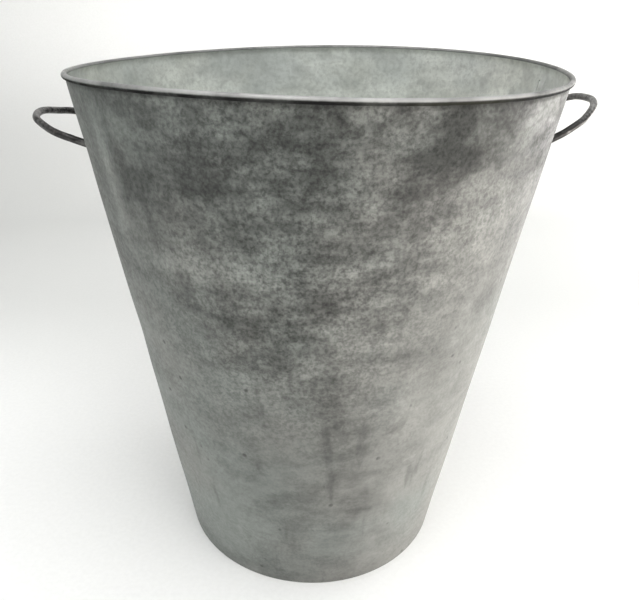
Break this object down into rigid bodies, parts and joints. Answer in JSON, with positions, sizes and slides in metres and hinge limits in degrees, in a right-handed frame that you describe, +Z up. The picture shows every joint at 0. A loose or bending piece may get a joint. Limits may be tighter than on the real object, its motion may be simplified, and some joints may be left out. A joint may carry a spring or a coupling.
{
  "type": "florist bucket",
  "caption": "Tapered round sheet-metal bucket with a wired rim, a set-in base, a lock seam and swinging wire loop handles at opposite sides.",
  "frame": {"origin": "on the bucket's axis at floor level, at the plane of the foot", "axes": "+Z up through the mouth, +X towards the right handle, -X towards the left handle, -Y towards the viewer's side"},
  "size_m": [0.4007, 0.34, 0.3845],
  "materials": {
    "wall_zinc": "aged, mottled galvanised zinc, satin",
    "base_zinc": "dull galvanised zinc",
    "rim_steel": "bare drawn wire",
    "solder": "dull grey solder",
    "handle_steel": "dark aged steel wire, satin"
  },
  "bodies": {
    "bucket": {"wall_sheet": "wall_zinc", "base_pan": "base_zinc", "rim_wire": "rim_steel", "seam_solder": "solder", "base_solder": "solder"},
    "left_handle": {"left_handle": "handle_steel"},
    "right_handle": {"right_handle": "handle_steel"}
  },
  "joints": [
    {"name": "left_handle_swing", "type": "hinge", "parent": "bucket", "child": "left_handle", "pos_m": [-0.15563, 0, 0.337], "axis": [0, 1, 0], "range_deg": [-65, 12]},
    {"name": "right_handle_swing", "type": "hinge", "parent": "bucket", "child": "right_handle", "pos_m": [0.15609, 0, 0.34], "axis": [0, -1, 0], "range_deg": [-76, 1]}
  ]
}
